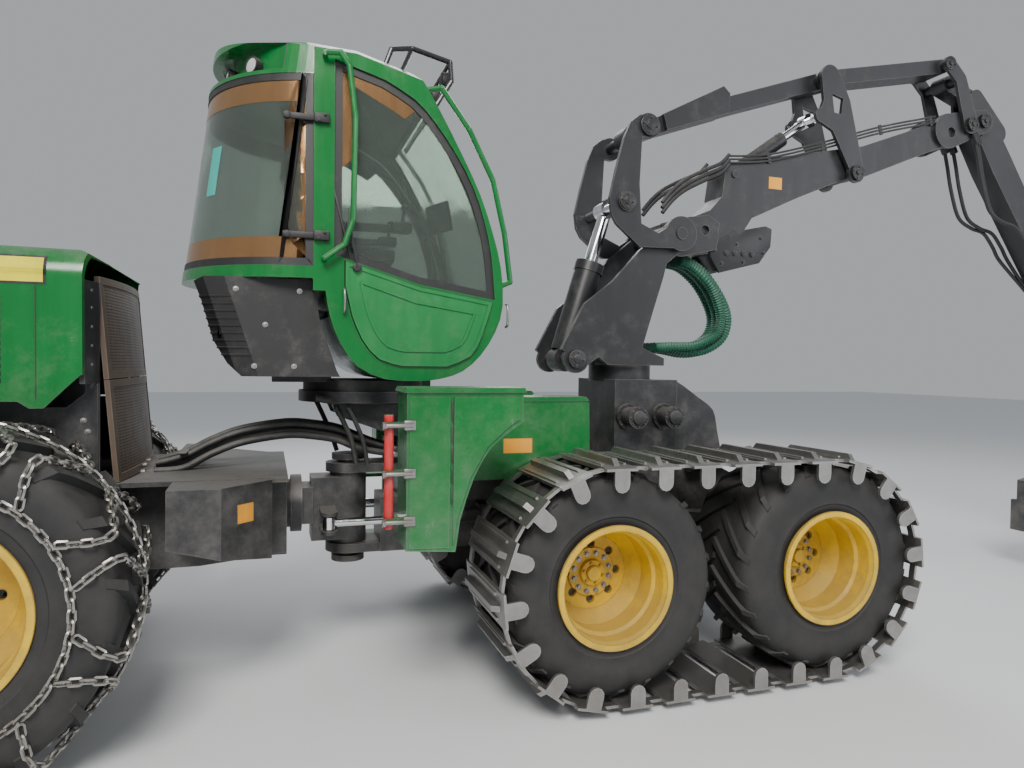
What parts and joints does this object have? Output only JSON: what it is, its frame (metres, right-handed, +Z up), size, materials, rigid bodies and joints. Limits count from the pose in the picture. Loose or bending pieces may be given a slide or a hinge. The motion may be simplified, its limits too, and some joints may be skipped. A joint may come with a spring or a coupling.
{
  "type": "forestry harvester",
  "caption": "Six-wheel articulated forestry harvester with tracked front bogies, turning cab and parallel crane with a harvester head.",
  "frame": {"origin": "on the ground under the middle of the machine with its crane held out ahead", "axes": "+X forward along the crane, +Y to the left, +Z up"},
  "size_m": [11.0388, 2.93, 4.71],
  "materials": {
    "bare_steel": "worn bare steel",
    "bin_green": "moulded green plastic",
    "engine_iron": "cast iron",
    "lamp_glass": "clear lamp lens",
    "moulded_black": "ribbed black moulding",
    "paint_black": "charcoal enamel with dust and scuffs",
    "paint_green": "smooth green enamel, dusty, chipped at edges",
    "paint_yellow": "yellow enamel with rust and mud",
    "rod_chrome": "bright plated rod",
    "screen_mesh": "perforated dark steel sheet brown with dust",
    "seat_cloth": "dark grey cloth",
    "track_steel": "worn bare steel with a grey skin",
    "tyre_rubber": "matt black rubber with dried mud",
    "window_glass": "clear polycarbonate"
  },
  "bodies": {
    "front_body": {"front_frame": "paint_black", "frame_neck": "paint_black", "cab_stand": "paint_black", "side_boxes": "paint_green", "slew_housing": "paint_black"},
    "bogie_right": {"bogie_beam_right": "paint_black", "bogie_rims_right": "paint_yellow", "bogie_tyres_right": "tyre_rubber", "track_right": "track_steel"},
    "bogie_left": {"bogie_beam_left": "paint_black", "bogie_rims_left": "paint_yellow", "bogie_tyres_left": "tyre_rubber", "track_left": "track_steel"},
    "steer_body": {"steer_knuckle": "paint_black"},
    "rear_body": {"rear_frame": "paint_black", "engine_block": "engine_iron", "hood": "paint_green", "side_panels": "paint_black", "radiator_guard": "screen_mesh"},
    "rear_wheel_right": {"rear_rim_right": "paint_yellow", "rear_tyre_right": "tyre_rubber"},
    "rear_wheel_left": {"rear_rim_left": "paint_yellow", "rear_tyre_left": "tyre_rubber"},
    "steer_barrel_r": {"steer_barrel_right": "paint_black"},
    "steer_rod_r": {"steer_rod_right": "rod_chrome"},
    "steer_barrel_l": {"steer_barrel_left": "paint_black"},
    "steer_rod_l": {"steer_rod_left": "rod_chrome"},
    "cab": {"cab_frame": "paint_green", "cab_pan": "moulded_black", "cab_windows": "window_glass", "seat": "seat_cloth", "storage_bin": "bin_green", "cab_lamps": "lamp_glass", "cab_rails": "paint_black"},
    "door": {"cab_door": "paint_green", "door_window": "window_glass"},
    "pillar_body": {"pillar": "paint_black"},
    "lift_barrel_body": {"lift_barrel": "paint_black"},
    "lift_rod_body": {"lift_rod": "rod_chrome"},
    "rocker_body": {"rocker": "paint_black"},
    "boom_body": {"boom": "paint_black"},
    "top_rod_body": {"top_rod": "paint_black"},
    "mid_link_body": {"mid_link": "paint_black"},
    "link_rod_body": {"link_rod": "paint_black"},
    "fold_barrel_body": {"fold_barrel": "paint_black"},
    "fold_rod_body": {"fold_rod": "rod_chrome"},
    "end_link_body": {"end_link": "paint_black"},
    "tie_link_body": {"tie_link": "paint_black"},
    "stick_body": {"stick": "paint_black"},
    "extension_body": {"extension": "paint_black"},
    "swing_body": {"swing_link": "paint_black"},
    "rotator_body": {"rotator": "paint_black"},
    "tilt_frame_body": {"tilt_frame": "paint_black"},
    "head": {"head_body": "paint_black"},
    "knife_body_left": {"knife_left": "bare_steel"},
    "knife_body_right": {"knife_right": "bare_steel"},
    "feed_body_left": {"feed_arm_left": "paint_black"},
    "feed_body_right": {"feed_arm_right": "paint_black"}
  },
  "joints": [
    {"name": "bogie_right_tilt", "type": "hinge", "parent": "front_body", "child": "bogie_right", "pos_m": [-0.24876, -1.08, 0.7293], "axis": [0, 1, 0], "range_deg": [-12, 12]},
    {"name": "bogie_left_tilt", "type": "hinge", "parent": "front_body", "child": "bogie_left", "pos_m": [-0.24876, 1.08, 0.7293], "axis": [0, 1, 0], "range_deg": [-12, 12]},
    {"name": "steer", "type": "hinge", "parent": "front_body", "child": "steer_body", "pos_m": [-2.34876, 0, 1.04], "axis": [0, 0, 1], "range_deg": [-44, 44]},
    {"name": "frame_roll", "type": "hinge", "parent": "steer_body", "child": "rear_body", "pos_m": [-2.64876, 0, 1.04], "axis": [1, 0, 0], "range_deg": [-12, 12]},
    {"name": "rear_wheel_right_spin", "type": "hinge", "parent": "rear_body", "child": "rear_wheel_right", "pos_m": [-4.29876, -1.08, 0.856], "axis": [0, 1, 0], "continuous": true},
    {"name": "rear_wheel_left_spin", "type": "hinge", "parent": "rear_body", "child": "rear_wheel_left", "pos_m": [-4.29876, 1.08, 0.856], "axis": [0, 1, 0], "continuous": true},
    {"name": "cab_turn", "type": "hinge", "parent": "front_body", "child": "cab", "pos_m": [-2.24876, 0, 1.8], "axis": [0, 0, 1], "range_deg": [-80, 80]},
    {"name": "door_open", "type": "hinge", "parent": "cab", "child": "door", "pos_m": [-2.51076, 0.768, 2.9], "axis": [0, 0, 1], "range_deg": [0, 80]},
    {"name": "slew", "type": "hinge", "parent": "front_body", "child": "pillar_body", "pos_m": [-0.29876, 0, 1.9], "axis": [0, 0, 1], "range_deg": [-110, 110]},
    {"name": "lift", "type": "hinge", "parent": "pillar_body", "child": "rocker_body", "pos_m": [0.03124, 0, 2.97], "axis": [0, -1, 0], "range_deg": [-12, 35]},
    {"name": "reach", "type": "hinge", "parent": "rocker_body", "child": "boom_body", "pos_m": [0.03124, 0, 2.97], "axis": [0, 1, 0], "range_deg": [-22, 10]},
    {"name": "top_rod_turn", "type": "hinge", "parent": "rocker_body", "child": "top_rod_body", "pos_m": [-0.25376, 0, 3.73], "axis": [0, 1, 0], "range_deg": [-22, 10]},
    {"name": "mid_link_turn", "type": "hinge", "parent": "boom_body", "child": "mid_link_body", "pos_m": [1.76124, 0, 3.61], "axis": [0, -1, 0], "range_deg": [-22, 10]},
    {"name": "link_rod_turn", "type": "hinge", "parent": "mid_link_body", "child": "link_rod_body", "pos_m": [1.47624, 0, 4.37], "axis": [0, 1, 0], "range_deg": [-27, 12]},
    {"name": "end_link_turn", "type": "hinge", "parent": "boom_body", "child": "end_link_body", "pos_m": [3.01124, 0, 4.15], "axis": [0, -1, 0], "range_deg": [-37, 15]},
    {"name": "tie_link_turn", "type": "hinge", "parent": "end_link_body", "child": "tie_link_body", "pos_m": [2.88124, 0, 4.53], "axis": [0, 1, 0], "range_deg": [-32, 13]},
    {"name": "stick_turn", "type": "hinge", "parent": "boom_body", "child": "stick_body", "pos_m": [3.20124, 0, 4.21], "axis": [0, -1, 0], "range_deg": [-60, 25]},
    {"name": "lift_barrel_turn", "type": "hinge", "parent": "pillar_body", "child": "lift_barrel_body", "pos_m": [-0.77876, 0, 2.03], "axis": [0, -1, 0], "range_deg": [-3, 4]},
    {"name": "lift_rod_slide", "type": "slide", "parent": "lift_barrel_body", "child": "lift_rod_body", "axis": [0.2935, 0, 0.956], "range_m": [-0.35, 0.15]},
    {"name": "fold_barrel_turn", "type": "hinge", "parent": "boom_body", "child": "fold_barrel_body", "pos_m": [0.62624, 0, 3.51], "axis": [0, -1, 0], "range_deg": [-5, 5]},
    {"name": "fold_rod_slide", "type": "slide", "parent": "fold_barrel_body", "child": "fold_rod_body", "axis": [0.823, 0, 0.5681], "range_m": [-0.15, 0.3]},
    {"name": "extend", "type": "slide", "parent": "stick_body", "child": "extension_body", "axis": [0.5807, 0, -0.8141], "range_m": [0, 1.3]},
    {"name": "head_swing", "type": "hinge", "parent": "extension_body", "child": "swing_body", "pos_m": [4.87075, 0, 1.94361], "axis": [0, 1, 0], "range_deg": [-70, 70]},
    {"name": "head_sway", "type": "hinge", "parent": "swing_body", "child": "rotator_body", "pos_m": [4.87075, 0, 1.61361], "axis": [1, 0, 0], "range_deg": [-30, 30]},
    {"name": "head_rotate", "type": "hinge", "parent": "rotator_body", "child": "tilt_frame_body", "pos_m": [4.87075, 0, 1.41361], "axis": [0, 0, 1], "continuous": true},
    {"name": "head_tilt", "type": "hinge", "parent": "tilt_frame_body", "child": "head", "pos_m": [5.20075, 0, 0.90361], "axis": [0, -1, 0], "range_deg": [0, 90]},
    {"name": "knife_left_swing", "type": "hinge", "parent": "head", "child": "knife_body_left", "pos_m": [5.404, 0.232, 0.84361], "axis": [1, 0, 0], "range_deg": [0, 45]},
    {"name": "knife_right_swing", "type": "hinge", "parent": "head", "child": "knife_body_right", "pos_m": [5.404, -0.232, 0.84361], "axis": [-1, 0, 0], "range_deg": [0, 45]},
    {"name": "feed_left_swing", "type": "hinge", "parent": "head", "child": "feed_body_left", "pos_m": [4.73575, 0.232, 0.84361], "axis": [1, 0, 0], "range_deg": [0, 30]},
    {"name": "feed_right_swing", "type": "hinge", "parent": "head", "child": "feed_body_right", "pos_m": [4.73575, -0.232, 0.84361], "axis": [-1, 0, 0], "range_deg": [0, 30]},
    {"name": "steer_barrel_r_turn", "type": "hinge", "parent": "front_body", "child": "steer_barrel_r", "pos_m": [-1.44876, -0.33, 0.96], "axis": [0, 0, 1], "range_deg": [-36, 36]},
    {"name": "steer_rod_r_slide", "type": "slide", "parent": "steer_barrel_r", "child": "steer_rod_r", "axis": [-1, 0, 0], "range_m": [-0.32, 0.32]},
    {"name": "steer_barrel_l_turn", "type": "hinge", "parent": "front_body", "child": "steer_barrel_l", "pos_m": [-1.44876, 0.33, 0.96], "axis": [0, 0, 1], "range_deg": [-36, 36]},
    {"name": "steer_rod_l_slide", "type": "slide", "parent": "steer_barrel_l", "child": "steer_rod_l", "axis": [-1, 0, 0], "range_m": [-0.32, 0.32]}
  ],
  "couplings": [
    {"joint": "top_rod_turn", "follows": "reach", "ratio": 1},
    {"joint": "mid_link_turn", "follows": "reach", "ratio": 1},
    {"joint": "link_rod_turn", "follows": "reach", "ratio": 1.04},
    {"joint": "end_link_turn", "follows": "reach", "ratio": 1.455},
    {"joint": "tie_link_turn", "follows": "reach", "ratio": 1},
    {"joint": "stick_turn", "follows": "reach", "ratio": 2.35},
    {"joint": "lift_barrel_turn", "follows": "lift", "ratio": -0.0574},
    {"joint": "lift_rod_slide", "follows": "lift", "m_per_rad": -0.4837},
    {"joint": "fold_barrel_turn", "follows": "reach", "ratio": -0.0013},
    {"joint": "fold_rod_slide", "follows": "reach", "m_per_rad": -0.5573},
    {"joint": "knife_right_swing", "follows": "knife_left_swing", "ratio": 1},
    {"joint": "feed_right_swing", "follows": "feed_left_swing", "ratio": 1},
    {"joint": "steer_barrel_r_turn", "follows": "steer", "ratio": 0.1367},
    {"joint": "steer_rod_r_slide", "follows": "steer", "m_per_rad": -0.3257},
    {"joint": "steer_barrel_l_turn", "follows": "steer", "ratio": 0.1367},
    {"joint": "steer_rod_l_slide", "follows": "steer", "m_per_rad": 0.3257}
  ]
}
